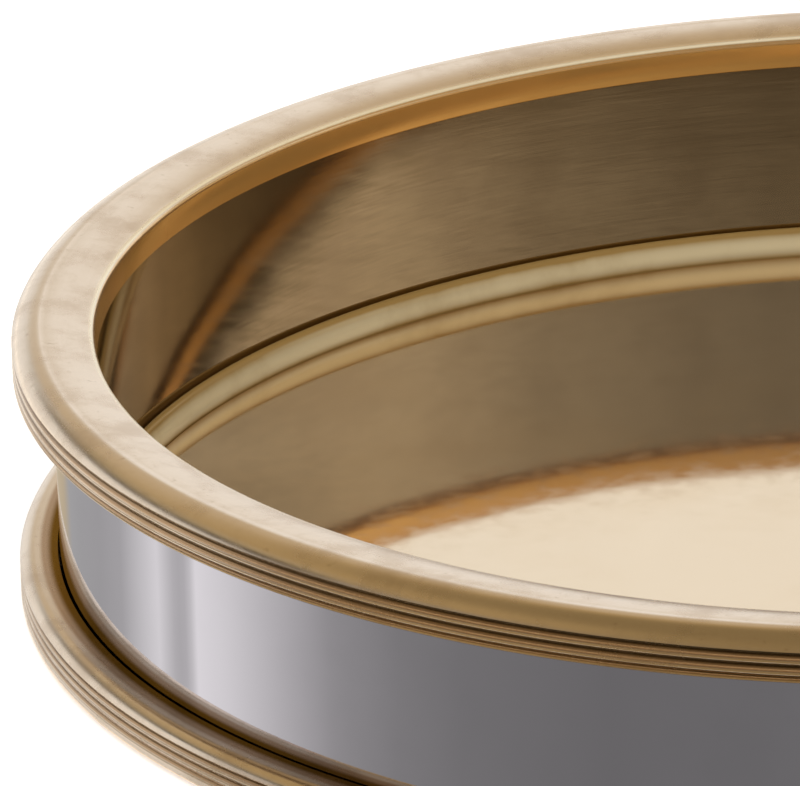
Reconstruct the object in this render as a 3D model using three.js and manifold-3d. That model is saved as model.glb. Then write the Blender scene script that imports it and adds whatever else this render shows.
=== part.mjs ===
// Round serving tray: a polished metal pan inside a nickel band, capped and footed by fluted brass rims.
// Millimetres, +Z up, origin on the table under the middle of the tray.

import * as THREE from 'three';
import { mergeVertices } from 'three/addons/utils/BufferGeometryUtils.js';
import Module from 'manifold-3d';

const wasm = await Module();
wasm.setup();

// Clearance between pieces that seat against each other
const SEAT_GAP = 0.2;

// Plan, from the mouth outwards
const MOUTH_RADIUS = 227.3;
const LIP_THICKNESS = 3.9;
const WALL_SHEET = 1;
const CORE_THICKNESS = 5.6;
const BAND_SHEET = 1;
const RIM_OVERHANG = 10.7;
const BASE_OVERHANG = 10.7;

// Stack, from the table upwards
const FOOT_LIFT = 1;
const FLANGE_THICKNESS = 1.6;
const BOARD_THICKNESS = 3.5;
const FLOOR_SHEET = 1.2;
const FLOOR_REBATE = 0.4;
const TRAY_DEPTH = 68;

// Top rim moulding: a rounded lip that leans out, a straight slope, a round shoulder, flutes and a quirk
const LIP_HEIGHT = 9.1;
const LIP_EDGE = 2.3;
const LIP_LEAN = THREE.MathUtils.degToRad(2);
const CHANNEL_DEPTH = 5.4;
const CREST_RISE = 1.9;
const SHOULDER_RADIUS = 7.75;
const SHOULDER_END = THREE.MathUtils.degToRad(24.8);
const TOP_FLUTES = 2;
const TOP_FLUTE_PITCH = 3.05;
const TOP_QUIRK_PITCH = 2;

// Base rim moulding: a foot band, flutes, a round crown, a flat ledge and a flange under the board
const FOOT_EDGE = 0.5;
const FOOT_BAND = 1.4;
const BASE_FLUTES = 3;
const BASE_FLUTE_PITCH = 2.48;
const BASE_CROWN_WIDTH = 4.2;
const BASE_CROWN_RISE = 2.9;
const LEDGE_GAP = 0.5;
const FLANGE_WIDTH = 17.6;

// Flutes of both rims, with a narrow land between neighbours
const FLUTE_DEPTH = 0.5;
const FLUTE_LAND = 0.5;

// Bead that covers the corner between the wall and the floor
const BEAD_HEIGHT = 8.4;
const BEAD_DEPTH = 4.2;
const BEAD_TURN_UNDER = THREE.MathUtils.degToRad(20);

// Countersunk screws that hold the base rim to the board
const SCREW_COUNT = 8;
const SCREW_HEAD_RADIUS = 2.8;
const SCREW_HEAD_DEPTH = 1.2;
const SCREW_SHANK_RADIUS = 1.3;
const SCREW_TIP_LENGTH = 1;
const SCREW_COVER = 0.8;

// Felt pads under the board
const PAD_COUNT = 6;
const PAD_RADIUS = 12;
const PAD_INSET = 10;
const PAD_EDGE = 0.6;

// Facets round the rings, the pads and the screws, and along each kind of curve
const RING_FACETS = 64;
const PAD_FACETS = 20;
const SCREW_FACETS = 12;
const CROWN_STEPS = 4;
const SHOULDER_STEPS = 7;
const LIP_STEPS = 4;
const FLUTE_STEPS = 4;
const EDGE_STEPS = 2;
const BEAD_STEPS = 7;

// Radii of the seats, each worked out from the one inside it
const channelInner = MOUTH_RADIUS + LIP_THICKNESS;
const wallInner = channelInner + SEAT_GAP;
const wallOuter = wallInner + WALL_SHEET;
const coreInner = wallOuter + SEAT_GAP;
const coreOuter = coreInner + CORE_THICKNESS;
const bandInner = coreOuter + SEAT_GAP;
const bandOuter = bandInner + BAND_SHEET;
const channelOuter = bandOuter + SEAT_GAP;
const rimRadius = channelOuter + RIM_OVERHANG;
const baseRadius = channelOuter + BASE_OVERHANG;
const ledgeInner = bandOuter + LEDGE_GAP;
const flangeInner = channelOuter - FLANGE_WIDTH;
const beadBack = wallInner - SEAT_GAP;
const floorRadius = beadBack - BEAD_DEPTH - SEAT_GAP;

// Heights of the seats, each worked out from the one below it
const flangeTop = FOOT_LIFT + FLANGE_THICKNESS;
const boardBottom = flangeTop + SEAT_GAP;
const boardTop = boardBottom + BOARD_THICKNESS;
const floorBottom = boardTop + SEAT_GAP;
const floorTop = floorBottom + FLOOR_SHEET;
const rebateTop = floorTop - FLOOR_REBATE;
const wallBottom = rebateTop + SEAT_GAP;
const mouthHeight = floorTop + TRAY_DEPTH;
const lipBottom = mouthHeight - LIP_HEIGHT;
const channelTop = lipBottom + CHANNEL_DEPTH;
const sidesTop = channelTop - SEAT_GAP;
const screwTip = boardTop - SCREW_COVER;

// A point of a profile: distance from the tray's axis, and height
function at(radius, height) {
  return new THREE.Vector2(radius, height);
}

// Points of an elliptical arc in the profile plane, both ends included
function arc(centre, halfWidth, halfHeight, fromAngle, toAngle, steps) {
  const points = [];
  for (let i = 0; i <= steps; i += 1) {
    const angle = fromAngle + ((toAngle - fromAngle) * i) / steps;
    points.push(at(centre.x + halfWidth * Math.cos(angle), centre.y + halfHeight * Math.sin(angle)));
  }
  return points;
}

// Points of a crown that rises from an outer edge and levels out at its crest
function crown(edge, crest) {
  const width = edge.x - crest.x;
  const rise = crest.y - edge.y;
  const radius = (width * width + rise * rise) / (2 * rise);
  const start = Math.acos(width / radius);
  return arc(at(crest.x, crest.y - radius), radius, radius, start, Math.PI / 2, CROWN_STEPS);
}

// Angle round two circles at which a straight slope leaves the inner one and runs onto the outer one
function slopeMeets(inner, innerRadius, outer, outerRadius) {
  const across = outer.clone().sub(inner);
  const slope = Math.atan2(across.y, across.x) + Math.asin((outerRadius - innerRadius) / across.length());
  return Math.PI / 2 + slope;
}

// Centre of the rounding at the top of the lip, whose face leans out from the lip's foot
function lipEdgeCentre() {
  const height = mouthHeight - LIP_EDGE;
  const face = (height - lipBottom + LIP_EDGE * Math.sin(LIP_LEAN)) / Math.cos(LIP_LEAN);
  return at(MOUTH_RADIUS + face * Math.sin(LIP_LEAN) + LIP_EDGE * Math.cos(LIP_LEAN), height);
}

// Points of a run of hollow flutes in a vertical face, from the top arris down, one flute for each pitch
function flutes(radius, top, pitches) {
  const points = [at(radius, top)];
  let arris = top;
  for (const pitch of pitches) {
    const middle = at(radius, arris - pitch / 2);
    const halfHeight = (pitch - FLUTE_LAND) / 2;
    points.push(...arc(middle, FLUTE_DEPTH, halfHeight, Math.PI / 2, (3 * Math.PI) / 2, FLUTE_STEPS));
    arris -= pitch;
  }
  points.push(at(radius, arris));
  return points;
}

// Solid of revolution about the tray's axis from a profile drawn anticlockwise
function turned(profile, facets) {
  const geometry = new THREE.LatheGeometry(profile, facets);
  geometry.rotateX(Math.PI / 2);
  return geometry;
}

function turnedRing(profile) {
  return turned([...profile, profile[0].clone()], RING_FACETS);
}

function rectangle(inner, outer, bottom, top) {
  return [at(inner, bottom), at(outer, bottom), at(outer, top), at(inner, top)];
}

// Cutting of one closed geometry by others
function solidOf(geometry) {
  const bare = geometry.clone();
  bare.deleteAttribute('normal');
  bare.deleteAttribute('uv');
  const merged = mergeVertices(bare);
  const vertProperties = new Float32Array(merged.attributes.position.array);
  const triVerts = new Uint32Array(merged.index.array);
  return new wasm.Manifold(new wasm.Mesh({ numProp: 3, vertProperties, triVerts }));
}

function cutBy(geometry, cutters) {
  let solid = solidOf(geometry);
  for (const cutter of cutters) {
    solid = solid.subtract(solidOf(cutter));
  }
  const mesh = solid.getMesh();
  const result = new THREE.BufferGeometry();
  result.setAttribute('position', new THREE.BufferAttribute(new Float32Array(mesh.vertProperties), 3));
  result.setIndex(new THREE.BufferAttribute(new Uint32Array(mesh.triVerts), 1));
  result.computeVertexNormals();
  return result;
}

// Places spread evenly round a circle, the first one half a step past the X axis
function roundCircle(count, radius) {
  return Array.from({ length: count }, (_, i) => {
    const angle = ((i + 0.5) * 2 * Math.PI) / count;
    return new THREE.Vector3(radius * Math.cos(angle), radius * Math.sin(angle), 0);
  });
}

// Top rim, with the channel that drops over the wall, the core hoop and the band
function topRimGeometry() {
  const edgeCentre = lipEdgeCentre();
  const crestRadius = rimRadius - SHOULDER_RADIUS * Math.cos(SHOULDER_END);
  const shoulderCentre = at(crestRadius, mouthHeight + CREST_RISE - SHOULDER_RADIUS);
  const slopeStart = slopeMeets(edgeCentre, LIP_EDGE, shoulderCentre, SHOULDER_RADIUS);
  const lipEdge = arc(edgeCentre, LIP_EDGE, LIP_EDGE, Math.PI - LIP_LEAN, slopeStart, LIP_STEPS);
  const firstArris = shoulderCentre.y + SHOULDER_RADIUS * Math.sin(SHOULDER_END);
  const pitches = [...Array(TOP_FLUTES).fill(TOP_FLUTE_PITCH), TOP_QUIRK_PITCH];
  const fluted = flutes(rimRadius, firstArris, pitches);
  const rimBottom = fluted.at(-1).y;
  const shoulder = arc(
    shoulderCentre, SHOULDER_RADIUS, SHOULDER_RADIUS, slopeStart, SHOULDER_END, SHOULDER_STEPS,
  );
  const overTheTop = [
    at(MOUTH_RADIUS, lipBottom),
    ...lipEdge,
    ...shoulder.slice(0, -1),
    ...fluted,
  ];
  const channel = [
    at(channelOuter, rimBottom),
    at(channelOuter, channelTop),
    at(channelInner, channelTop),
    at(channelInner, lipBottom),
  ];
  return turnedRing([...overTheTop, ...channel].reverse());
}

// Base rim, with the flange that the board is screwed down to
function baseRimGeometry() {
  const lastArris = FOOT_LIFT + FOOT_EDGE + FOOT_BAND;
  const firstArris = lastArris + BASE_FLUTES * BASE_FLUTE_PITCH;
  const crest = at(baseRadius - BASE_CROWN_WIDTH, firstArris + BASE_CROWN_RISE);
  const footCentre = at(baseRadius - FOOT_EDGE, FOOT_LIFT + FOOT_EDGE);
  const foot = arc(footCentre, FOOT_EDGE, FOOT_EDGE, -Math.PI / 2, 0, EDGE_STEPS);
  return turnedRing([
    at(flangeInner, FOOT_LIFT),
    ...foot,
    ...flutes(baseRadius, firstArris, Array(BASE_FLUTES).fill(BASE_FLUTE_PITCH)).reverse(),
    ...crown(at(baseRadius, firstArris), crest).slice(1),
    at(ledgeInner, crest.y),
    at(ledgeInner, flangeTop),
    at(flangeInner, flangeTop),
  ]);
}

function boardGeometry() {
  return turned([
    at(0, boardBottom),
    at(coreOuter, boardBottom),
    at(coreOuter, boardTop),
    at(0, boardTop),
  ], RING_FACETS);
}

// Floor plate, with a rebate round its edge that the wall, the hoop and the bead stand in
function floorGeometry() {
  return turned([
    at(0, floorBottom),
    at(coreOuter, floorBottom),
    at(coreOuter, rebateTop),
    at(floorRadius, rebateTop),
    at(floorRadius, floorTop),
    at(0, floorTop),
  ], RING_FACETS);
}

// Bead with an elliptical face that turns under at its foot
function beadGeometry() {
  const halfHeight = BEAD_HEIGHT / (1 + Math.sin(BEAD_TURN_UNDER));
  const centre = at(beadBack, wallBottom + BEAD_HEIGHT - halfHeight);
  const underAngle = Math.PI + BEAD_TURN_UNDER;
  const face = arc(centre, BEAD_DEPTH, halfHeight, Math.PI / 2, underAngle, BEAD_STEPS);
  return turnedRing([...face, at(beadBack, wallBottom)]);
}

// Countersunk screw standing on its head, swollen by a clearance where it is used as a cutter
function screwGeometry(clearance) {
  const headBottom = FOOT_LIFT - clearance;
  const coneTop = FOOT_LIFT + SCREW_HEAD_DEPTH + clearance;
  const tip = screwTip + clearance;
  const profile = [
    at(0, headBottom),
    at(SCREW_HEAD_RADIUS + clearance, headBottom),
    at(SCREW_HEAD_RADIUS + clearance, FOOT_LIFT + clearance),
    at(SCREW_SHANK_RADIUS + clearance, coneTop),
    at(SCREW_SHANK_RADIUS + clearance, tip - SCREW_TIP_LENGTH),
    at(0, tip),
  ];
  return turned(profile, SCREW_FACETS);
}

function padGeometry() {
  const top = boardBottom - SEAT_GAP;
  const edge = arc(at(PAD_RADIUS - PAD_EDGE, PAD_EDGE), PAD_EDGE, PAD_EDGE, -Math.PI / 2, 0, EDGE_STEPS);
  return turned([at(0, 0), ...edge, at(PAD_RADIUS, top), at(0, top)], PAD_FACETS);
}

// Finishes
function agedBrass() {
  return new THREE.MeshStandardMaterial({ color: 0xb8986a, roughness: 0.36, metalness: 1 });
}

function polishedBrass() {
  return new THREE.MeshStandardMaterial({ color: 0xc2a063, roughness: 0.1, metalness: 1 });
}

function tonedBrass() {
  return new THREE.MeshStandardMaterial({ color: 0x9a8974, roughness: 0.2, metalness: 1 });
}

function polishedNickel() {
  return new THREE.MeshStandardMaterial({ color: 0xb4b0b6, roughness: 0.06, metalness: 1 });
}

function birchPly() {
  return new THREE.MeshStandardMaterial({ color: 0xb08d62, roughness: 0.7, metalness: 0 });
}

function darkFelt() {
  return new THREE.MeshStandardMaterial({ color: 0x3a332e, roughness: 0.95, metalness: 0 });
}

function brassScrew() {
  return new THREE.MeshStandardMaterial({ color: 0xa88a4e, roughness: 0.3, metalness: 1 });
}

// Assembly
const tray = new THREE.Group();

function addPiece(name, geometry, material) {
  const mesh = new THREE.Mesh(geometry, material);
  mesh.name = name;
  tray.add(mesh);
  return mesh;
}

const screwPlaces = roundCircle(SCREW_COUNT, channelOuter - FLANGE_WIDTH / 2);
const screwCutters = screwPlaces.map((p) => screwGeometry(SEAT_GAP).translate(p.x, p.y, p.z));
const padPlaces = roundCircle(PAD_COUNT, flangeInner - PAD_INSET - PAD_RADIUS);

addPiece('top_rim', topRimGeometry(), agedBrass());
addPiece('inner_wall', turnedRing(rectangle(wallInner, wallOuter, wallBottom, sidesTop)), tonedBrass());
addPiece('corner_bead', beadGeometry(), polishedBrass());
addPiece('floor_plate', floorGeometry(), polishedBrass());
addPiece('core_hoop', turnedRing(rectangle(coreInner, coreOuter, wallBottom, sidesTop)), birchPly());
addPiece('outer_band', turnedRing(rectangle(bandInner, bandOuter, boardBottom, sidesTop)), polishedNickel());
addPiece('base_rim', cutBy(baseRimGeometry(), screwCutters), agedBrass());
addPiece('base_board', cutBy(boardGeometry(), screwCutters), birchPly());

screwPlaces.forEach((place, i) => {
  addPiece(`base_screw_${i + 1}`, screwGeometry(0), brassScrew()).position.copy(place);
});

padPlaces.forEach((place, i) => {
  addPiece(`felt_pad_${i + 1}`, padGeometry(), darkFelt()).position.copy(place);
});

export default tray;
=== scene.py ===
# Round serving tray: looks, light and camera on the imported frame.
# Metres, +Z up. The viewer looks along +Y.
import math

import bmesh
import bpy
from mathutils import Matrix, Vector, noise


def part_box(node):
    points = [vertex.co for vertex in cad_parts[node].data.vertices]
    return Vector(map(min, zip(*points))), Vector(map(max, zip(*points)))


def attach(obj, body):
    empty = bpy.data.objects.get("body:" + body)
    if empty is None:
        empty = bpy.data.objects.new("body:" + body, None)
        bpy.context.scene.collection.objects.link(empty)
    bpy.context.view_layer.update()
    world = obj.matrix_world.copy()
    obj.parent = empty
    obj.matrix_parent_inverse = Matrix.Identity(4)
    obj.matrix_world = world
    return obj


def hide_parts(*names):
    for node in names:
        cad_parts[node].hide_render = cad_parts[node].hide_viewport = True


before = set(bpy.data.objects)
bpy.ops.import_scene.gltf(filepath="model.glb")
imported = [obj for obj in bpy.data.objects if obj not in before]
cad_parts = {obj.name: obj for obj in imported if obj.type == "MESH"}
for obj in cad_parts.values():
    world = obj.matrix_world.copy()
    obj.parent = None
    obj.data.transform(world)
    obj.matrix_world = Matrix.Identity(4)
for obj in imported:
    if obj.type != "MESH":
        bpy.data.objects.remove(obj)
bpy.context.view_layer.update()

MM = 0.001
BODY = "root"

# Camera, fitted to the edges of both rims, and the image that it is fitted to
IMAGE_WIDTH = 800
SENSOR_WIDTH = 36.0
FOCAL_PIXELS = 9896.5
CAMERA_BACK = 2525.5 * MM
CAMERA_HEIGHT = 999.1 * MM
CAMERA_YAW = math.radians(3.2991)
CAMERA_PITCH = math.radians(20.5751)
CAMERA_ROLL = math.radians(-1.5070)
CAMERA_REACH = 100.0

# Steps round the rings, and along each kind of curve
RING_STEPS = 256
PAD_STEPS = 48
SCREW_STEPS = 32
SHOULDER_STEPS = 28
SLOPE_STEPS = 12
LIP_STEPS = 14
FLUTE_STEPS = 14
NOSE_STEPS = 6
HALF_NOSE = (NOSE_STEPS + 1) // 2
EDGE_STEPS = 6
CROWN_STEPS = 20
BEAD_STEPS = 40
SHARP_ANGLE = math.radians(32)

# Sizes that the nodes' boxes don't give: sheets
WALL_SHEET = 1.0 * MM
BAND_SHEET = 1.0 * MM
CORE_THICKNESS = 5.6 * MM
SEAT_GAP = 0.2 * MM
FLOOR_REBATE = 0.4 * MM

# Top rim
LIP_THICKNESS = 3.9 * MM
LIP_HEIGHT = 9.1 * MM
LIP_EDGE = 2.3 * MM
LIP_LEAN = math.radians(2)
LIP_FOOT = 0.3 * MM
CHANNEL_DEPTH = 5.4 * MM
CREST_RISE = 1.9 * MM
SLOPE_FULLNESS = 0.38 * MM
SHOULDER_RADIUS = 7.75 * MM
SHOULDER_END = math.radians(24.8)
TOP_PITCHES = (3.05 * MM, 3.05 * MM, 2.0 * MM)

# Base rim
FOOT_EDGE = 0.5 * MM
FOOT_BAND = 1.4 * MM
BASE_PITCHES = (2.48 * MM, 2.48 * MM, 2.48 * MM)
BASE_CROWN_WIDTH = 4.2 * MM
LEDGE_GAP = 0.5 * MM
FLANGE_THICKNESS = 1.6 * MM
FLANGE_WIDTH = 17.6 * MM

# Flutes of both rims
FLUTE_DEPTH = 0.5 * MM
FLUTE_LAND = 0.5 * MM
FLUTE_NOSE = 0.12 * MM

# Bead
BEAD_DEPTH = 4.2 * MM
BEAD_TURN_UNDER = math.radians(20)
BEAD_TURN_OVER = math.radians(50)

# Screws
SCREW_HEAD_DEPTH = 1.2 * MM
SCREW_SHANK_RADIUS = 1.3 * MM
SCREW_TIP_LENGTH = 1.0 * MM
SLOT_LENGTH = 20 * MM
SLOT_WIDTH = 0.8 * MM
SLOT_DEPTH = 0.5 * MM
SLOT_TURN = math.radians(37)

# Felt pads
PAD_EDGE = 0.6 * MM
PAD_NAP = 0.18 * MM
PAD_NAP_SCALE = 900.0
PAD_RING_STEP = 2
PAD_RING_MARGIN = 4

# Where painted highlights and painted shade lie, as shares of the lip's edge, the bead and the
# flutes
EDGE_HIGHLIGHT_PLACE = 0.2
EDGE_HIGHLIGHT_SPREAD = 0.2
BEAD_HIGHLIGHT_PLACE = 0.46
BEAD_HIGHLIGHT_SPREAD = 0.42
LEDGE_SHADE_MARK = 2.4
LEDGE_NEAR = 1.0 * MM
HOLLOW_LIMIT = 1.05

# Colours, linear
AGED_BRASS = (0.86, 0.72, 0.57, 1)
AGED_BRASS_DARK = (0.54, 0.39, 0.26, 1)
# Painted shade in the flute hollows, also the tint of the ledge's painted shade
HOLLOW_SHADE_BRASS = (0.48, 0.31, 0.17, 1)
# Painted shade along the ledge beside the band
LEDGE_SHADE_BRASS = (0.25, 0.175, 0.10, 1)
# Painted reflection on the lip's face
LIP_REFLECTION_BRASS = (0.92, 0.53, 0.16, 1)
# Painted highlight along the lip's rounded edge
EDGE_HIGHLIGHT_BRASS = (1.0, 0.92, 0.72, 1)
# The bead's painted highlight, and painted shade along its edges
BEAD_HIGHLIGHT_BRASS = (1.0, 0.91, 0.64, 1)
BEAD_SHADE_BRASS = (0.44, 0.29, 0.10, 1)
POLISHED_BRASS = (0.84, 0.69, 0.50, 1)
POLISHED_BRASS_TONED = (0.76, 0.58, 0.37, 1)
TONED_BRASS = (0.47, 0.37, 0.24, 1)
TONED_BRASS_DARK = (0.40, 0.31, 0.20, 1)
NICKEL = (0.69, 0.655, 0.69, 1)
NICKEL_DULL = (0.63, 0.60, 0.63, 1)
SCREW_BRASS = (0.66, 0.49, 0.27, 1)
SCREW_BRASS_DARK = (0.38, 0.26, 0.13, 1)
PLY_PALE = (0.56, 0.40, 0.24, 1)
PLY_DARK = (0.33, 0.20, 0.10, 1)
FELT_PALE = (0.055, 0.046, 0.040, 1)
FELT_DARK = (0.022, 0.018, 0.015, 1)
WHITE = (1, 1, 1, 1)
FLOOR_COLOUR = (0.9, 0.9, 0.9, 1)
ROOM_WARMTH = (1.0, 0.74, 0.37, 1)


# Places and sizes from the frame
def node_radius(node):
    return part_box(node)[1][0]


def node_bottom(node):
    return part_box(node)[0][2]


def node_top(node):
    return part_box(node)[1][2]


rim_radius = node_radius("top_rim")
rim_bottom = node_bottom("top_rim")
rim_top = node_top("top_rim")
base_radius = node_radius("base_rim")
base_bottom = node_bottom("base_rim")
base_top = node_top("base_rim")
wall_outer = node_radius("inner_wall")
wall_inner = wall_outer - WALL_SHEET
side_bottom = node_bottom("inner_wall")
side_top = node_top("inner_wall")
core_outer = node_radius("core_hoop")
band_outer = node_radius("outer_band")
band_bottom = node_bottom("outer_band")
bead_back = node_radius("corner_bead")
bead_bottom = node_bottom("corner_bead")
bead_top = node_top("corner_bead")
floor_bottom = node_bottom("floor_plate")
floor_top = node_top("floor_plate")
board_bottom = node_bottom("base_board")
board_top = node_top("base_board")
channel_outer = band_outer + SEAT_GAP
ledge_inner = band_outer + LEDGE_GAP
channel_inner = wall_inner - SEAT_GAP
mouth_radius = channel_inner - LIP_THICKNESS
mouth_height = rim_top - CREST_RISE
lip_bottom = mouth_height - LIP_HEIGHT
channel_top = lip_bottom + CHANNEL_DEPTH
flange_inner = channel_outer - FLANGE_WIDTH
flange_top = base_bottom + FLANGE_THICKNESS
floor_radius = bead_back - BEAD_DEPTH - SEAT_GAP
top_first_arris = rim_top - SHOULDER_RADIUS * (1 - math.sin(SHOULDER_END))
base_first_arris = base_bottom + FOOT_EDGE + FOOT_BAND + sum(BASE_PITCHES)


# Profiles: lists of (distance from the axis, height)
def arc(centre, half_width, half_height, start, end, steps):
    angles = [start + (end - start) * i / steps for i in range(steps + 1)]
    x, z = centre
    return [(x + half_width * math.cos(a), z + half_height * math.sin(a)) for a in angles]


def round_arc(centre, radius, start, end, steps):
    return arc(centre, radius, radius, start, end, steps)


def fluted_face(radius, top, pitches):
    """Hollow flutes in a vertical face, from the top down, each with a rounded nose below it.

    Only the upper half of the last nose is kept.
    """
    face = radius - FLUTE_NOSE
    depth = FLUTE_DEPTH - FLUTE_NOSE
    points = []
    arris = top
    for pitch in pitches:
        half = (pitch - FLUTE_LAND) / 2
        curve = (half ** 2 + depth ** 2) / (2 * depth)
        spread = math.asin(half / curve)
        middle = (face - depth + curve, arris - pitch / 2)
        points += round_arc(middle, curve, math.pi - spread, math.pi + spread, FLUTE_STEPS)
        arris -= pitch
        upward, downward = math.pi / 2, -math.pi / 2
        nose = arc((face, arris), FLUTE_NOSE, FLUTE_LAND / 2, upward, downward, NOSE_STEPS)
        points += nose[1:-1]
    return points[:-HALF_NOSE]


def straight(start, end, steps):
    """Points between two ends, without the ends."""
    shares = [i / steps for i in range(1, steps)]
    return [tuple(a + (b - a) * share for a, b in zip(start, end)) for share in shares]


def full(points, rise):
    """Points of a nearly level line, raised most in its middle."""
    count = len(points) + 1
    return [
        (x, z + rise * 4 * i * (count - i) / count ** 2)
        for i, (x, z) in enumerate(points, 1)
    ]


def lip_edge_centre():
    height = mouth_height - LIP_EDGE
    face = (height - lip_bottom + LIP_EDGE * math.sin(LIP_LEAN)) / math.cos(LIP_LEAN)
    return (mouth_radius + face * math.sin(LIP_LEAN) + LIP_EDGE * math.cos(LIP_LEAN), height)


def top_rim_profile():
    crest_radius = rim_radius - SHOULDER_RADIUS * math.cos(SHOULDER_END)
    shoulder_centre = (crest_radius, rim_top - SHOULDER_RADIUS)
    edge_centre = lip_edge_centre()
    across = (shoulder_centre[0] - edge_centre[0], shoulder_centre[1] - edge_centre[1])
    tangent = math.asin((SHOULDER_RADIUS - LIP_EDGE) / math.hypot(*across))
    slope = math.atan2(across[1], across[0]) + tangent
    slope_normal = math.pi / 2 + slope
    lip_normal = math.pi - LIP_LEAN
    foot_centre = (mouth_radius + LIP_FOOT, lip_bottom + LIP_FOOT)
    edge = round_arc(edge_centre, LIP_EDGE, lip_normal, slope_normal, LIP_STEPS)
    shoulder = round_arc(
        shoulder_centre, SHOULDER_RADIUS, slope_normal, SHOULDER_END, SHOULDER_STEPS,
    )
    return [
        *round_arc(foot_centre, LIP_FOOT, 3 * math.pi / 2, lip_normal, EDGE_STEPS),
        *edge,
        *full(straight(edge[-1], shoulder[0], SLOPE_STEPS), SLOPE_FULLNESS),
        *shoulder,
        *fluted_face(rim_radius, top_first_arris, TOP_PITCHES),
        (rim_radius - FLUTE_NOSE, rim_bottom),
        (channel_outer, rim_bottom),
        (channel_outer, channel_top),
        (channel_inner, channel_top),
        (channel_inner, lip_bottom),
    ]


def base_rim_profile():
    rise = base_top - base_first_arris
    crest_radius = base_radius - BASE_CROWN_WIDTH
    crown_radius = (BASE_CROWN_WIDTH ** 2 + rise ** 2) / (2 * rise)
    crown_end = math.acos(BASE_CROWN_WIDTH / crown_radius)
    crown_centre = (crest_radius, base_top - crown_radius)
    foot_centre = (base_radius - FOOT_EDGE, base_bottom + FOOT_EDGE)
    return [
        (flange_inner, flange_top),
        (ledge_inner, flange_top),
        (ledge_inner, base_top),
        *round_arc(crown_centre, crown_radius, math.pi / 2, crown_end, CROWN_STEPS),
        *fluted_face(base_radius, base_first_arris, BASE_PITCHES),
        *round_arc(foot_centre, FOOT_EDGE, 0, -math.pi / 2, EDGE_STEPS),
        (flange_inner, base_bottom),
    ]


def bead_profile():
    half_height = (bead_top - bead_bottom) / (1 + math.sin(BEAD_TURN_UNDER))
    half_width = BEAD_DEPTH / (1 + math.cos(BEAD_TURN_OVER))
    centre = (bead_back - half_width * math.cos(BEAD_TURN_OVER), bead_top - half_height)
    under = math.pi + BEAD_TURN_UNDER
    face = arc(centre, half_width, half_height, BEAD_TURN_OVER, under, BEAD_STEPS)
    return [*face, (bead_back, bead_bottom)]


def ring_profile(inner, outer, bottom, top):
    return [(inner, bottom), (outer, bottom), (outer, top), (inner, top)]


def floor_profile():
    rebate_top = floor_top - FLOOR_REBATE
    return [
        (0, floor_bottom),
        (core_outer, floor_bottom),
        (core_outer, rebate_top),
        (floor_radius, rebate_top),
        (floor_radius, floor_top),
        (0, floor_top),
    ]


# Meshes
def new_object(name, bm):
    bmesh.ops.recalc_face_normals(bm, faces=bm.faces)
    mesh = bpy.data.meshes.new(name)
    bm.to_mesh(mesh)
    bm.free()
    piece = bpy.data.objects.new(name, mesh)
    bpy.context.scene.collection.objects.link(piece)
    return piece


def smooth(piece):
    piece.data.shade_smooth()
    piece.data.set_sharp_from_angle(angle=SHARP_ANGLE)


def turned_bmesh(profile, steps, closed):
    """Surface of revolution; a point on the axis becomes one vertex."""
    bm = bmesh.new()
    angles = [2 * math.pi * i / steps for i in range(steps)]
    rows = []
    for radius, height in profile:
        if radius == 0:
            rows.append([bm.verts.new((0, 0, height))] * steps)
            continue
        ring = [(radius * math.cos(a), radius * math.sin(a), height) for a in angles]
        rows.append([bm.verts.new(corner) for corner in ring])
    pairs = list(zip(rows, rows[1:]))
    if closed:
        pairs.append((rows[-1], rows[0]))
    for low, high in pairs:
        for i in range(steps):
            j = (i + 1) % steps
            corners = list(dict.fromkeys((low[i], low[j], high[j], high[i])))
            bm.faces.new(corners)
    return bm


def turned(name, profile, closed=True, steps=RING_STEPS):
    piece = new_object(name, turned_bmesh(profile, steps, closed))
    smooth(piece)
    return piece


def cut(piece, cutter):
    """Cut one object out of another, and drop the cutter."""
    modifier = piece.modifiers.new("cut", "BOOLEAN")
    modifier.object = cutter
    modifier.operation = "DIFFERENCE"
    modifier.solver = "EXACT"
    graph = bpy.context.evaluated_depsgraph_get()
    mesh = bpy.data.meshes.new_from_object(piece.evaluated_get(graph))
    piece.modifiers.clear()
    piece.data = mesh
    bpy.data.objects.remove(cutter)
    smooth(piece)


# Values that the materials read at each point of a turned piece
def mark(piece, name, value_at):
    """Give each point a value that depends on its radius and height."""
    values = piece.data.attributes.new(name, "FLOAT", "POINT")
    for vertex, value in zip(piece.data.vertices, values.data):
        value.value = value_at(vertex.co.xy.length, vertex.co.z)


def hump(value, middle, spread):
    """1 in the middle, falling to 0 at the spread on both sides."""
    return max(0.0, 1.0 - ((value - middle) / spread) ** 2)


def flute_hollow(rim, first_arris):
    """How deep in a rim's flutes a point lies, from 0 on the arrises to 1 in the hollows."""
    def value_at(radius, height):
        depth = (rim - radius) / FLUTE_DEPTH
        return depth if height < first_arris and depth < HOLLOW_LIMIT else 0.0
    return value_at


def base_flute_and_ledge_shade(radius, height):
    """Painted shade of the base rim: in its flutes, and along the ledge beside the band."""
    if height > base_top - LEDGE_NEAR and radius < ledge_inner + LEDGE_NEAR:
        return LEDGE_SHADE_MARK
    return flute_hollow(base_radius, base_first_arris)(radius, height)


def on_lip(radius, height):
    """How far down the lip's rounded edge a point lies, from 0 on top to 1 on the face below."""
    if radius > lip_edge_centre()[0]:
        return 0.0
    return min(1.0, (mouth_height - height) / LIP_EDGE)


def painted_edge_highlight(radius, height):
    """1 along the line of the lip's rounded edge that gets a painted highlight, and 0 away from
    it.
    """
    if radius > lip_edge_centre()[0]:
        return 0.0
    return hump((mouth_height - height) / LIP_EDGE, EDGE_HIGHLIGHT_PLACE, EDGE_HIGHLIGHT_SPREAD)


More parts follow.
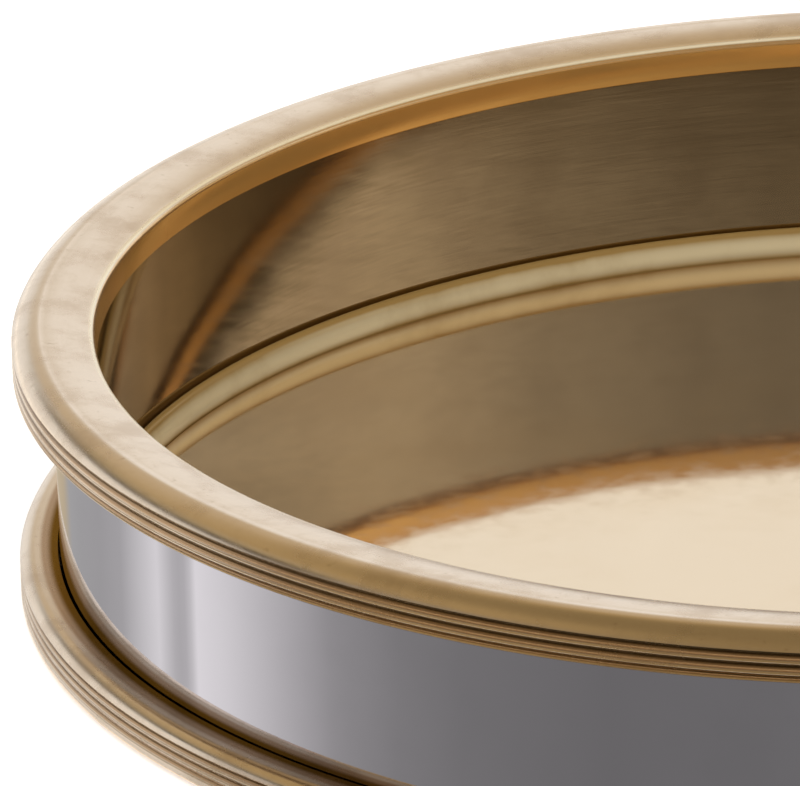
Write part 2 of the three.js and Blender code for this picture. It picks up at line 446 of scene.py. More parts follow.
def bead_painted_highlight(_radius, height):
    """How much painted highlight the bead has, from 0 along its edges, which get painted shade, to
    1 near its middle.
    """
    share = (height - bead_bottom) / (bead_top - bead_bottom)
    return hump(share, BEAD_HIGHLIGHT_PLACE, BEAD_HIGHLIGHT_SPREAD)


# Node materials
class Shader:
    """A material's or world's nodes, with short calls to add and join them."""

    def __init__(self, owner):
        owner.use_nodes = True
        self.tree = owner.node_tree
        self.tree.nodes.clear()

    def add(self, kind, inputs=None, **settings):
        node = self.tree.nodes.new(kind)
        for key, value in settings.items():
            setattr(node, key, value)
        for key, value in (inputs or {}).items():
            if isinstance(value, bpy.types.NodeSocket):
                self.tree.links.new(value, node.inputs[key])
            else:
                node.inputs[key].default_value = value
        return node

    def math(self, operation, a, b=0.0):
        return self.add("ShaderNodeMath", {0: a, 1: b}, operation=operation).outputs[0]

    def times(self, a, b):
        return self.math("MULTIPLY", a, b)

    def plus(self, a, b):
        return self.math("ADD", a, b)

    def rest(self, share):
        """What a share leaves of 1."""
        return self.math("SUBTRACT", 1.0, share)

    def largest(self, a, b):
        return self.math("MAXIMUM", a, b)

    def vector(self, operation, inputs, output=0):
        return self.add("ShaderNodeVectorMath", inputs, operation=operation).outputs[output]

    def mix(self, factor, a, b):
        inputs = {"Factor": factor, 6: a, 7: b}
        return self.add("ShaderNodeMix", inputs, data_type="RGBA").outputs[2]

    def ramp(self, value, low, high, to_low=0.0, to_high=1.0):
        """A smooth step from one level to another while the value goes from low to high."""
        inputs = {0: value, 1: low, 2: high, 3: to_low, 4: to_high}
        return self.add("ShaderNodeMapRange", inputs, interpolation_type="SMOOTHSTEP").outputs[0]

    def stops(self, value, pairs):
        """Straight lines between (place from 0 to 1, brightness) pairs."""
        node = self.add("ShaderNodeValToRGB", {"Fac": value})
        elements = node.color_ramp.elements
        while len(elements) < len(pairs):
            elements.new(1.0)
        for element, (place, level) in zip(elements, sorted(pairs)):
            element.position = place
            element.color = (level, level, level, 1)
        return node.outputs["Color"]

    def noise(self, vector, scale, detail=4.0, roughness=0.5, w=None):
        inputs = {"Vector": vector, "Scale": scale, "Detail": detail, "Roughness": roughness}
        if w is not None:
            inputs["W"] = w
        dimensions = "3D" if w is None else "4D"
        return self.add("ShaderNodeTexNoise", inputs, noise_dimensions=dimensions).outputs["Fac"]

    def bump(self, height, strength, distance, normal=None):
        inputs = {"Height": height, "Strength": strength, "Distance": distance}
        if normal is not None:
            inputs["Normal"] = normal
        return self.add("ShaderNodeBump", inputs).outputs[0]

    def attribute(self, name):
        return self.add("ShaderNodeAttribute", attribute_name=name).outputs["Fac"]

    def place(self):
        return self.add("ShaderNodeTexCoord").outputs["Object"]

    def xyz(self, vector):
        return self.add("ShaderNodeSeparateXYZ", {0: vector}).outputs

    def turning(self, place, along, across, **settings):
        """Noise in marks that run round the axis: slow along the turn, quick across it."""
        flat = self.vector("MULTIPLY", {0: place, 1: (1, 1, 0)})
        radius = self.vector("LENGTH", {0: flat}, "Value")
        heading = self.vector("NORMALIZE", {0: flat})
        slow = self.xyz(self.vector("SCALE", {0: heading, "Scale": along}))
        inputs = {0: slow[0], 1: slow[1], 2: self.times(radius, across)}
        vector = self.add("ShaderNodeCombineXYZ", inputs).outputs[0]
        return self.noise(vector, 1.0, w=self.times(self.xyz(place)[2], across), **settings)

    def glow(self, colour, strength):
        return self.add("ShaderNodeEmission", {"Color": colour, "Strength": strength}).outputs[0]

    def partly_clear(self, share, shader):
        """A shader that shows by a share, and lets light through for the rest."""
        clear = self.add("ShaderNodeBsdfTransparent").outputs[0]
        return self.add("ShaderNodeMixShader", {0: share, 1: clear, 2: shader}).outputs[0]

    def surface(self, shader, target="ShaderNodeOutputMaterial"):
        self.tree.links.new(shader, self.add(target).inputs["Surface"])

    def principled(self, inputs):
        self.surface(self.add("ShaderNodeBsdfPrincipled", inputs).outputs[0])


def new_material(name):
    material = bpy.data.materials.new(name)
    return material, Shader(material)


# Depths of the marks in the metal, and the lengths that the bumps of other materials stand for
BRUSH_DEPTH = 0.004 * MM
FINE_BRUSH_DEPTH = 0.001 * MM
MOTTLE_DEPTH = 0.6 * MM
FLOOR_WAVE_DEPTH = 0.3 * MM
FLOOR_RIPPLE_DEPTH = 0.02 * MM
SCREW_WEAR_DEPTH = 0.3 * MM
PORE_DEPTH = 0.4 * MM
FIBRE_DEPTH = 0.5 * MM

# Aged brass: how strong its stains are, and how far the lip's painted reflection and its edge's
# painted highlight are made diffuse
TARNISH_SHARE = 0.35
PIT_SHARE = 0.4
BRUSH_ROUGHNESS = 0.05
LIP_SMOOTHNESS = 0.4
LIP_REFLECTION_DIFFUSE = 0.32
EDGE_HIGHLIGHT_DIFFUSE = 0.7

FLOOR_METALLIC = 0.94
# The bead is mostly diffuse, so the fill lamp lights its painted highlight
BEAD_METALLIC = 0.22


def aged_brass():
    material, s = new_material("aged_brass")
    place = s.place()
    hollow = s.attribute("hollow")
    lip = s.attribute("lip")
    edge = s.attribute("edge")
    mottle = s.noise(place, scale=55.0, detail=6.0, roughness=0.62)
    specks = s.noise(place, scale=420.0, detail=3.0, roughness=0.6)
    brushed = s.turning(place, along=10.0, across=1500.0, detail=2.0)
    tarnish = s.times(s.ramp(mottle, 0.45, 0.72), TARNISH_SHARE)
    pits = s.times(s.ramp(specks, 0.62, 0.76), PIT_SHARE)
    stains_and_painted_highlight = s.mix(s.largest(tarnish, pits), AGED_BRASS, AGED_BRASS_DARK)
    # Painted shade in the flute hollows
    flute_shade = s.mix(s.ramp(hollow, 0.3, 0.9), stains_and_painted_highlight, HOLLOW_SHADE_BRASS)
    # Painted shade along the ledge beside the band
    ledge_shade = s.ramp(hollow, HOLLOW_LIMIT, 1.9)
    toned = s.mix(ledge_shade, flute_shade, LEDGE_SHADE_BRASS)
    # Painted reflection on the lip's face and painted highlight along its edge
    colour = s.mix(edge, s.mix(lip, toned, LIP_REFLECTION_BRASS), EDGE_HIGHLIGHT_BRASS)
    satin = s.plus(s.ramp(mottle, 0.3, 0.75, 0.19, 0.28), s.times(brushed, BRUSH_ROUGHNESS))
    # The lip and its edge are made partly diffuse, so the fill lamp lights their painted colours
    painted_diffuse_share = s.largest(s.times(lip, LIP_REFLECTION_DIFFUSE), s.times(edge, EDGE_HIGHLIGHT_DIFFUSE))
    off_flutes = s.ramp(hollow, 0.0, 0.15, 1.0, 0.0)
    brush_marks = s.bump(s.times(brushed, off_flutes), 1.0, BRUSH_DEPTH)
    s.principled({
        "Base Color": colour,
        "Metallic": s.rest(painted_diffuse_share),
        "Roughness": s.times(satin, s.rest(s.times(lip, LIP_SMOOTHNESS))),
        "Normal": s.bump(mottle, 0.02, MOTTLE_DEPTH, brush_marks),
        "Specular Tint": s.mix(ledge_shade, WHITE, HOLLOW_SHADE_BRASS),
    })
    return material


def polished_brass():
    material, s = new_material("polished_brass")
    place = s.place()
    tone = s.noise(place, scale=11.0, detail=5.0, roughness=0.6)
    haze = s.noise(place, scale=160.0, detail=4.0, roughness=0.6)
    wave = s.noise(place, scale=10.0, detail=1.0, roughness=0.4)
    ripple = s.noise(place, scale=45.0, detail=1.0, roughness=0.4)
    toned = s.ramp(tone, 0.42, 0.75, 0.0, 0.5)
    waves = s.bump(wave, 1.0, FLOOR_WAVE_DEPTH)
    s.principled({
        "Base Color": s.mix(toned, POLISHED_BRASS, POLISHED_BRASS_TONED),
        "Metallic": FLOOR_METALLIC,
        "Roughness": s.ramp(haze, 0.35, 0.75, 0.05, 0.10),
        "Normal": s.bump(ripple, 1.0, FLOOR_RIPPLE_DEPTH, waves),
    })
    return material


def bead_brass():
    material, s = new_material("bead_brass")
    place = s.place()
    tone = s.noise(place, scale=40.0, detail=5.0, roughness=0.6)
    drawn = s.turning(place, along=8.0, across=900.0, detail=2.0)
    # Painted highlight in the bead's middle and painted shade along its edges, broken up by random
    # tone
    patchy_highlight = s.math("SUBTRACT", s.attribute("stains_and_painted_highlight"), s.ramp(tone, 0.45, 0.75, 0.0, 0.25))
    s.principled({
        "Base Color": s.mix(patchy_highlight, BEAD_SHADE_BRASS, BEAD_HIGHLIGHT_BRASS),
        "Metallic": BEAD_METALLIC,
        "Roughness": s.plus(s.ramp(tone, 0.3, 0.75, 0.16, 0.22), s.times(drawn, 0.04)),
        "Normal": s.bump(drawn, 1.0, BRUSH_DEPTH),
    })
    return material


def toned_brass():
    material, s = new_material("toned_brass")
    place = s.place()
    cloud = s.noise(place, scale=24.0, detail=5.0, roughness=0.6)
    broad = s.turning(place, along=9.0, across=700.0, detail=3.0, roughness=0.6)
    fine = s.turning(place, along=20.0, across=2600.0, detail=2.0)
    streaks = s.plus(s.times(cloud, 0.6), s.times(fine, 0.4))
    broad_marks = s.bump(broad, 1.0, BRUSH_DEPTH)
    s.principled({
        "Base Color": s.mix(s.ramp(streaks, 0.40, 0.64), TONED_BRASS, TONED_BRASS_DARK),
        "Metallic": 1.0,
        "Roughness": s.plus(s.ramp(cloud, 0.3, 0.75, 0.05, 0.08), s.times(fine, 0.02)),
        "Normal": s.bump(fine, 1.0, FINE_BRUSH_DEPTH, broad_marks),
    })
    return material


def polished_nickel():
    material, s = new_material("polished_nickel")
    place = s.place()
    drawn = s.turning(place, along=5.0, across=1800.0, detail=2.0)
    haze = s.noise(place, scale=18.0, detail=4.0, roughness=0.55)
    s.principled({
        "Base Color": s.mix(s.ramp(haze, 0.4, 0.75, 0.0, 0.7), NICKEL, NICKEL_DULL),
        "Metallic": 1.0,
        "Roughness": s.plus(s.ramp(haze, 0.3, 0.75, 0.015, 0.03), s.times(drawn, 0.01)),
    })
    return material


def screw_brass():
    material, s = new_material("screw_brass")
    wear = s.noise(s.place(), scale=700.0, detail=4.0)
    s.principled({
        "Base Color": s.mix(s.ramp(wear, 0.35, 0.7), SCREW_BRASS, SCREW_BRASS_DARK),
        "Metallic": 1.0,
        "Roughness": s.ramp(wear, 0.3, 0.7, 0.25, 0.45),
        "Normal": s.bump(wear, 0.15, SCREW_WEAR_DEPTH),
    })
    return material


def plywood():
    material, s = new_material("plywood")
    place = s.place()
    stretch = {"Vector": place, "Scale": (6.0, 90.0, 90.0)}
    stretched = s.add("ShaderNodeMapping", stretch).outputs[0]
    bent = s.noise(place, scale=9.0, detail=2.0)
    shifted = s.vector("ADD", {0: stretched, 1: bent})
    grain = s.noise(shifted, scale=1.4, detail=7.0, roughness=0.62)
    pores = s.noise(stretched, scale=14.0, detail=3.0)
    s.principled({
        "Base Color": s.mix(s.ramp(grain, 0.35, 0.68), PLY_PALE, PLY_DARK),
        "Roughness": s.ramp(pores, 0.3, 0.7, 0.55, 0.75),
        "Normal": s.bump(pores, 0.2, PORE_DEPTH),
    })
    return material


def felt():
    material, s = new_material("felt")
    place = s.place()
    fibre = s.noise(place, scale=1800.0, detail=5.0, roughness=0.7)
    clump = s.noise(place, scale=240.0, detail=3.0)
    tufts = s.plus(fibre, s.times(clump, 0.4))
    s.principled({
        "Base Color": s.mix(s.ramp(tufts, 0.45, 0.95), FELT_DARK, FELT_PALE),
        "Roughness": 0.95,
        "Sheen Weight": 0.4,
        "Sheen Roughness": 0.5,
        "Normal": s.bump(fibre, 0.6, FIBRE_DEPTH),
    })
    return material


materials = {
    "aged_brass": aged_brass(),
    "polished_brass": polished_brass(),
    "bead_brass": bead_brass(),
    "toned_brass": toned_brass(),
    "polished_nickel": polished_nickel(),
    "screw_brass": screw_brass(),
    "plywood": plywood(),
    "felt": felt(),
}


def dress(piece, node, slot, look=None):
    """Give a piece its material, which is the slot's own if no other look is named."""
    piece.data.materials.clear()
    piece.data.materials.append(materials[look or slot])
    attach(piece, BODY)
    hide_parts(node)


def node_places(prefix):
    """Names and centres of the nodes whose names start alike."""
    names = sorted(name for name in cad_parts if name.startswith(prefix))
    return [(name, (Vector(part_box(name)[0]) + Vector(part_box(name)[1])) / 2) for name in names]


# Screws and their holes
def screw_profile(node, clearance):
    low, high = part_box(node)
    head_radius = (high[0] - low[0]) / 2 + clearance
    shank_radius = SCREW_SHANK_RADIUS + clearance
    bottom = low[2] - clearance
    tip = high[2] + clearance
    return [
        (0, bottom),
        (head_radius, bottom),
        (head_radius, low[2] + clearance),
        (shank_radius, low[2] + SCREW_HEAD_DEPTH + clearance),
        (shank_radius, tip - SCREW_TIP_LENGTH),
        (0, tip),
    ]


def move(piece, place):
    piece.data.transform(Matrix.Translation((place.x, place.y, 0)))


def slot_cutter(low):
    bm = bmesh.new()
    bmesh.ops.create_cube(bm, size=1.0)
    bmesh.ops.scale(bm, verts=bm.verts, vec=(SLOT_LENGTH, SLOT_WIDTH, 2 * SLOT_DEPTH))
    bmesh.ops.translate(bm, verts=bm.verts, vec=(0, 0, low))
    return new_object("slot_cutter", bm)


screws = node_places("base_screw_")


def screw_holes():
    bm = bmesh.new()
    for name, place in screws:
        part = turned_bmesh(screw_profile(name, SEAT_GAP), SCREW_STEPS, False)
        bmesh.ops.translate(part, verts=part.verts, vec=(place.x, place.y, 0))
        mesh = bpy.data.meshes.new("hole")
        part.to_mesh(mesh)
        part.free()
        bm.from_mesh(mesh)
        bpy.data.meshes.remove(mesh)
    return new_object("screw_holes", bm)


# Rings and plates
rim = turned("rim_moulding", top_rim_profile())
# Depth in the flutes, which the material darkens as painted shade
mark(rim, "hollow", flute_hollow(rim_radius, top_first_arris))
# Where the lip's face gets its painted reflection and its edge its painted highlight
mark(rim, "lip", on_lip)
mark(rim, "edge", painted_edge_highlight)
dress(rim, "top_rim", "aged_brass")

wall_profile = ring_profile(wall_inner, wall_outer, side_bottom, side_top)
dress(turned("wall_sheet", wall_profile), "inner_wall", "toned_brass")

bead = turned("wall_bead", bead_profile())
# Painted highlight and painted shade on the bead, by height
mark(bead, "stains_and_painted_highlight", bead_painted_highlight)
dress(bead, "corner_bead", "polished_brass", look="bead_brass")

floor_sheet = turned("floor_sheet", floor_profile(), closed=False)
dress(floor_sheet, "floor_plate", "polished_brass")

core_profile = ring_profile(core_outer - CORE_THICKNESS, core_outer, side_bottom, side_top)
dress(turned("ply_hoop", core_profile), "core_hoop", "plywood")

band_profile = ring_profile(band_outer - BAND_SHEET, band_outer, band_bottom, side_top)
dress(turned("side_band", band_profile), "outer_band", "polished_nickel")

base = turned("base_moulding", base_rim_profile())
cut(base, screw_holes())
# Flute depth, and a mark on the ledge beside the band, which the material turns into painted shade
mark(base, "hollow", base_flute_and_ledge_shade)
dress(base, "base_rim", "aged_brass")

ply_board = turned("ply_board", ring_profile(0, core_outer, board_bottom, board_top), closed=False)
cut(ply_board, screw_holes())
dress(ply_board, "base_board", "plywood")

for i, (name, place) in enumerate(screws):
    screw = turned(f"slotted_{name}", screw_profile(name, 0), closed=False, steps=SCREW_STEPS)
    cut(screw, slot_cutter(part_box(name)[0][2]))
    screw.data.transform(Matrix.Rotation(SLOT_TURN * i, 4, "Z"))
    move(screw, place)
    dress(screw, name, "screw_brass")


# Felt pads
def pad_profile(node):
    low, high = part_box(node)
    radius = (high[0] - low[0]) / 2
    edge = round_arc((radius - PAD_EDGE, PAD_EDGE), PAD_EDGE, -math.pi / 2, 0, EDGE_STEPS)
    ring_counts = range(0, PAD_STEPS - PAD_RING_MARGIN, PAD_RING_STEP)
    rings = [(radius * count / PAD_STEPS, 0) for count in ring_counts]
    return [*rings, *edge, (radius, high[2]), (0, high[2])]


for name, place in node_places("felt_pad_"):
    pad = turned(f"pressed_{name}", pad_profile(name), closed=False, steps=PAD_STEPS)
    move(pad, place)
    for vertex in pad.data.vertices:
        sink = PAD_NAP * max(0.0, noise.noise(vertex.co * PAD_NAP_SCALE))
        inward = Vector((place.x - vertex.co.x, place.y - vertex.co.y, 0))
        if vertex.co.z < PAD_EDGE / 2:
            vertex.co.z += sink
        elif inward.length > 0:
            vertex.co += inward.normalized() * sink
    dress(pad, name, "felt")


# Floor, pale from above and clear from below
FLOOR_REACH = 40.0
FLOOR_GLOW = 0.5


def seen_directly(s):
    """1 where the camera, a mirror or glass looks, and 0 for light that spreads."""
    path = s.add("ShaderNodeLightPath").outputs
    seen = s.largest(path["Is Camera Ray"], path["Is Glossy Ray"])
    return s.largest(seen, path["Is Transmission Ray"])


def floor_material():
    material, s = new_material("pale_floor")
    grain = s.noise(s.place(), scale=60.0, detail=3.0)
    colour = s.mix(s.ramp(grain, 0.2, 0.8, 0.0, 0.02), FLOOR_COLOUR, WHITE)
    paper = s.add("ShaderNodeBsdfDiffuse", {"Color": colour}).outputs[0]
    glow = s.glow(WHITE, s.times(seen_directly(s), FLOOR_GLOW))
    pale = s.add("ShaderNodeAddShader", {0: paper, 1: glow}).outputs[0]
    from_below = s.add("ShaderNodeNewGeometry").outputs["Backfacing"]
    s.surface(s.partly_clear(s.rest(from_below), pale))
    return material


floor_bm = bmesh.new()
bmesh.ops.create_grid(floor_bm, x_segments=1, y_segments=1, size=FLOOR_REACH)
ground = new_object("floor", floor_bm)
ground.data.materials.append(floor_material())


def glossy_only(thing):
    thing.visible_camera = False
    thing.visible_diffuse = False
    thing.visible_shadow = False
    thing.visible_transmission = False


# Dark glossy sheet on the floor round the tray, which only the metal sees
SHEET_INNER = 252 * MM
SHEET_OUTER = 1200 * MM
SHEET_HEIGHT = 0.4 * MM
SHEET_SLANT_LOW = 0.30
SHEET_SLANT_HIGH = 0.60
SHEET_STEEP = 0.12
SHEET_GRAZING = 0.98


def sheet_material():
    material, s = new_material("glossy_sheet")
    slant = s.add("ShaderNodeLayerWeight", {"Blend": 0.5}).outputs["Facing"]
    shine = s.ramp(slant, SHEET_SLANT_LOW, SHEET_SLANT_HIGH, SHEET_STEEP, SHEET_GRAZING)
    s.surface(s.add("ShaderNodeBsdfGlossy", {"Color": shine, "Roughness": 0.0}).outputs[0])
    return material


sheet_profile = [(SHEET_INNER, SHEET_HEIGHT), (SHEET_OUTER, SHEET_HEIGHT)]
sheet = turned("glossy_sheet", sheet_profile, closed=False)
sheet.data.materials.append(sheet_material())
glossy_only(sheet)

# Boards round the tray that only the metal sees. The white one stands ahead, and its top and
# ends fade: its tops are (place aside, height)
BOARD_GRAIN = 0.97
WHITE_BOARD_AWAY = 1000 * MM
WHITE_BOARD_TOPS = (
    (-360 * MM, 840 * MM), (-150 * MM, 720 * MM), (0, 590 * MM), (300 * MM, 530 * MM),
    (1500 * MM, 530 * MM),
)
WHITE_BOARD_FADE = 0.75
WHITE_BOARD_LEFT = -360 * MM
WHITE_BOARD_LEFT_FULL = -260 * MM
WHITE_BOARD_RIGHT_FULL = 1300 * MM
WHITE_BOARD_RIGHT = 1500 * MM
WHITE_BOARD_GLOW = 0.97

# A low dark one stands to the right: its tops are (degrees clockwise from ahead, height)
DARK_BOARD_AWAY = 800 * MM
DARK_BOARD_TOPS = (
    (35, 340 * MM), (50, 326 * MM), (63, 316 * MM), (75, 305 * MM), (86, 294 * MM),
    (99, 294 * MM), (109, 295 * MM), (126, 298 * MM), (143, 301 * MM), (160, 304 * MM),
)
DARK_BOARD_COLOUR = (0.05, 0.04, 0.03, 1)
DARK_BOARD_GLOW = 1.0

# A lower tan one stands before the dark one, dimmer towards the viewer
TAN_BOARD_AWAY = 790 * MM
TAN_BOARD_TURNS = range(35, 171, 15)
TAN_BOARD_TOP = 268 * MM
TAN_BOARD_COLOUR = (1.0, 0.88, 0.62, 1)
TAN_BOARD_DIM = -750 * MM
TAN_BOARD_BRIGHT = -250 * MM
TAN_BOARD_GLOW_DIM = 0.24
TAN_BOARD_GLOW = 0.54
TAN_BOARD_END = -778 * MM
TAN_BOARD_END_FULL = -700 * MM

# A hood hangs to the left, brighter upwards: its bottoms are (degrees, height)
HOOD_AWAY = 800 * MM
HOOD_BOTTOMS = (
    (-112, 254 * MM), (-105, 256 * MM), (-93, 261 * MM), (-82, 266 * MM), (-71, 272 * MM),
    (-59, 278 * MM), (-50, 283 * MM),
)
HOOD_TOP = 500 * MM
HOOD_COLOUR = (1.0, 0.82, 0.52, 1)
HOOD_FADE_LOW = 310 * MM
HOOD_FADE_HIGH = 420 * MM
HOOD_GLOW_LOW = 0.03
HOOD_GLOW_HIGH = 0.44


def card_glow(s, colour, glow):
    """Light of a card with a faint grain."""
    grain = s.noise(s.place(), scale=40.0, detail=3.0)
    return s.glow(colour, s.ramp(grain, 0.2, 0.8, BOARD_GRAIN * glow, glow))


def white_material():
    material, s = new_material("white_board")
    aside = s.xyz(s.place())[0]
    upward = s.ramp(s.attribute("rise"), WHITE_BOARD_FADE, 1.0, 1.0, 0.0)
    left = s.ramp(aside, WHITE_BOARD_LEFT, WHITE_BOARD_LEFT_FULL)
    right = s.ramp(aside, WHITE_BOARD_RIGHT_FULL, WHITE_BOARD_RIGHT, 1.0, 0.0)
    share = s.times(upward, s.times(left, right))
    s.surface(s.partly_clear(share, card_glow(s, WHITE, WHITE_BOARD_GLOW)))
    return material


def dark_material():
    material, s = new_material("dark_board")
    s.surface(card_glow(s, DARK_BOARD_COLOUR, DARK_BOARD_GLOW))
    return material


def tan_material():
    material, s = new_material("tan_board")
    ahead = s.xyz(s.place())[1]
    glow = s.ramp(ahead, TAN_BOARD_DIM, TAN_BOARD_BRIGHT, TAN_BOARD_GLOW_DIM, TAN_BOARD_GLOW)
    share = s.ramp(ahead, TAN_BOARD_END, TAN_BOARD_END_FULL)
    s.surface(s.partly_clear(share, s.glow(TAN_BOARD_COLOUR, glow)))
    return material


def hood_material():
    material, s = new_material("hood_board")
    aloft = s.xyz(s.place())[2]
    glow = s.ramp(aloft, HOOD_FADE_LOW, HOOD_FADE_HIGH, HOOD_GLOW_LOW, HOOD_GLOW_HIGH)
    s.surface(s.glow(HOOD_COLOUR, glow))
    return material


def board(name, posts, material):
    """An upright board through posts, each a place on the floor and the heights of both edges."""
    bm = bmesh.new()
    rows = [[bm.verts.new((x, y, z)) for z in heights] for x, y, *heights in posts]
    for a, b in zip(rows, rows[1:]):
        bm.faces.new((a[0], b[0], b[1], a[1]))
    piece = new_object(name, bm)
    rise = piece.data.attributes.new("rise", "FLOAT", "POINT")
    for i, value in enumerate(rise.data):
        value.value = i % 2
    piece.data.materials.append(material)
    glossy_only(piece)


def on_circle(radius, degrees):
    turn = math.radians(degrees)
    return radius * math.sin(turn), radius * math.cos(turn)


white_posts = [(x, WHITE_BOARD_AWAY, 0, top) for x, top in WHITE_BOARD_TOPS]
dark_posts = [(*on_circle(DARK_BOARD_AWAY, turn), 0, top) for turn, top in DARK_BOARD_TOPS]
hood_posts = [(*on_circle(HOOD_AWAY, turn), bottom, HOOD_TOP) for turn, bottom in HOOD_BOTTOMS]
tan_posts = [(*on_circle(TAN_BOARD_AWAY, turn), 0, TAN_BOARD_TOP) for turn in TAN_BOARD_TURNS]
board("white_board", white_posts, white_material())
board("dark_board", dark_posts, dark_material())
board("hood_board", hood_posts, hood_material())
board("tan_board", tan_posts, tan_material())

# World: a bright room low down, with a window to the left, and a dim warm ceiling. The camera
# itself sees white. Turns are degrees clockwise from ahead, with the light there
ROOM_ROUND = (
    (-180, 0.22), (-138, 0.20), (-117, 0.24), (-107, 0.29), (-96, 0.40), (-86, 0.63),
    (-75, 0.90), (-68.5, 1.0), (-67, 0.62), (-64, 0.57), (-59, 0.92), (-48, 0.50),
    (-40, 0.44), (-25, 0.44), (-12, 0.45), (-5, 0.8), (20, 1.0), (45, 0.95), (76, 0.92),
    (88, 0.92), (99, 0.78), (111, 0.64), (122, 0.48), (134, 0.40), (157, 0.27), (180, 0.22),
)
ROOM_RIGHT_FADE = (
    (30, 0), (45, 0.46), (68, 0.46), (80, 0.36), (89, 0.26), (99, 0.12), (108, 0),
)
# From behind the viewer, 0, to ahead, 1
ROOM_ABOVE = (
    (0, 0.26), (0.07, 0.28), (0.2, 0.38), (0.37, 0.40), (0.63, 0.42), (0.85, 0.52), (1, 0.58),
)
ROOM_OVERHEAD = 0.24
BEHIND_SHADE = 0.2
SURROUND_AHEAD = (0.9, 0.9, 0.9, 1)
SURROUND_BEHIND = (0.36, 0.27, 0.15, 1)

# Degrees above level between which one part of the room gives way to the next
SURROUND_END = (16.9, 17.4)
SHADE_END = (18.75, 19.05)
RIGHT_FADE_START = (20.1, 20.9)
OVERHEAD_START = (40, 70)
CEILING = 25
CEILING_AHEAD = 18.5
CEILING_BLEND = 0.03

# How far ahead a direction faces, from -1 to 1, where the light changes
FACING_BEHIND = (-0.35, 0.05)
FACING_SURROUND = (-0.3, 0.5)
FACING_AHEAD = (0.86, 0.98)
CEILING_WARM_TO_PLAIN = (0.4, 0.85)
LEVEL_LEAST = 0.001


def by_turn(pairs):
    """Stops by compass: -180 degrees is 0 and 180 is 1."""
    return [(degrees / 360 + 0.5, light) for degrees, light in pairs]


def height_of(degrees):
    return math.sin(math.radians(degrees))


def heights_of(degrees):
    return [height_of(each) for each in degrees]


world = bpy.data.worlds.new("studio")
bpy.context.scene.world = world
sky = Shader(world)
aside, ahead, aloft = sky.xyz(sky.add("ShaderNodeTexCoord").outputs["Generated"])
heading = sky.plus(sky.times(sky.math("ARCTAN2", aside, ahead), 0.5 / math.pi), 0.5)
level = sky.math("SQRT", sky.rest(sky.times(aloft, aloft)))
facing = sky.math("DIVIDE", ahead, sky.largest(level, LEVEL_LEAST))

around = sky.stops(heading, by_turn(ROOM_ROUND))
behind = sky.ramp(facing, *FACING_BEHIND, BEHIND_SHADE, 1.0)
above_shade = sky.ramp(aloft, *heights_of(SHADE_END))
shade = sky.plus(behind, sky.times(above_shade, sky.rest(behind)))
right_fade = sky.stops(heading, by_turn(ROOM_RIGHT_FADE))
fading = sky.times(right_fade, sky.ramp(aloft, *heights_of(RIGHT_FADE_START)))
room = sky.times(sky.times(around, shade), sky.rest(fading))
pale = sky.mix(sky.ramp(facing, *FACING_SURROUND), SURROUND_BEHIND, SURROUND_AHEAD)
near_floor = sky.ramp(aloft, *heights_of(SURROUND_END), 1.0, 0.0)
surround = sky.vector("SCALE", {0: pale, "Scale": near_floor})
low = sky.vector("MAXIMUM", {0: room, 1: surround})

above = sky.stops(sky.plus(sky.times(facing, 0.5), 0.5), ROOM_ABOVE)
overhead = sky.ramp(aloft, *heights_of(OVERHEAD_START))
high = sky.plus(sky.times(above, sky.rest(overhead)), sky.times(overhead, ROOM_OVERHEAD))
tint = sky.mix(sky.ramp(high, *CEILING_WARM_TO_PLAIN), ROOM_WARMTH, WHITE)
warm = sky.vector("SCALE", {0: tint, "Scale": high})

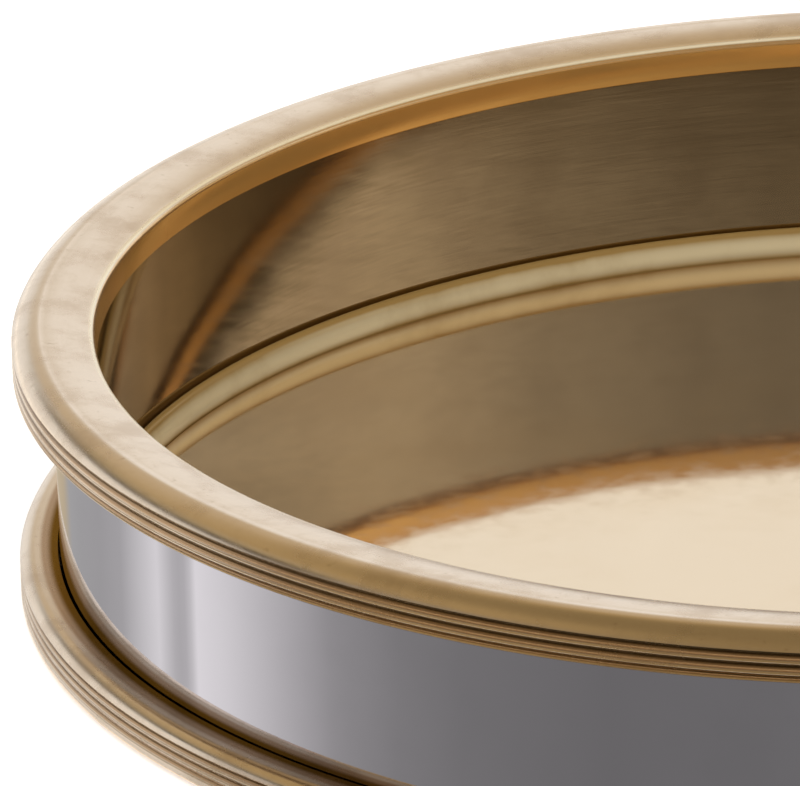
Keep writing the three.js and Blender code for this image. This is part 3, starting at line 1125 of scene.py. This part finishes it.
drop_ahead = height_of(CEILING) - height_of(CEILING_AHEAD)
drop = sky.times(sky.ramp(facing, *FACING_AHEAD), drop_ahead)
ceiling = sky.math("SUBTRACT", height_of(CEILING), drop)
above_low = sky.math("SUBTRACT", aloft, ceiling)
studio = sky.mix(sky.ramp(above_low, -CEILING_BLEND, CEILING_BLEND), low, warm)
colour = sky.mix(sky.add("ShaderNodeLightPath").outputs["Is Camera Ray"], studio, WHITE)
background = sky.add("ShaderNodeBackground", {"Color": colour, "Strength": 1.0})
sky.surface(background.outputs[0], "ShaderNodeOutputWorld")

# Lamp: a wide soft light from over the viewer's left shoulder, which no mirror shows
FILL_PLACE = (-0.4, -0.6, 1.6)
FILL_IRRADIANCE = 2.3
FILL_SPREAD = math.radians(120)


def make_fill():
    data = bpy.data.lights.new("fill", "SUN")
    data.energy = FILL_IRRADIANCE
    data.angle = FILL_SPREAD
    lamp = bpy.data.objects.new("fill", data)
    bpy.context.scene.collection.objects.link(lamp)
    lamp.location = FILL_PLACE
    lamp.rotation_euler = (-Vector(FILL_PLACE)).to_track_quat("-Z", "Y").to_euler()
    lamp.visible_glossy = False
    lamp.visible_camera = False


def make_camera():
    forward = Vector((
        -math.sin(CAMERA_YAW) * math.cos(CAMERA_PITCH),
        math.cos(CAMERA_YAW) * math.cos(CAMERA_PITCH),
        -math.sin(CAMERA_PITCH),
    ))
    sideways = Vector((math.cos(CAMERA_YAW), math.sin(CAMERA_YAW), 0))
    upright = sideways.cross(forward)
    right = math.cos(CAMERA_ROLL) * sideways + math.sin(CAMERA_ROLL) * upright
    up = math.cos(CAMERA_ROLL) * upright - math.sin(CAMERA_ROLL) * sideways
    data = bpy.data.cameras.new("camera")
    data.sensor_width = SENSOR_WIDTH
    data.lens = FOCAL_PIXELS * SENSOR_WIDTH / IMAGE_WIDTH
    data.clip_end = CAMERA_REACH
    camera = bpy.data.objects.new("camera", data)
    bpy.context.scene.collection.objects.link(camera)
    turn = Matrix((right, up, -forward)).transposed().to_4x4()
    camera.matrix_world = Matrix.Translation((0, -CAMERA_BACK, CAMERA_HEIGHT)) @ turn
    bpy.context.scene.camera = camera


make_fill()
make_camera()
bpy.context.scene.view_settings.view_transform = "Standard"
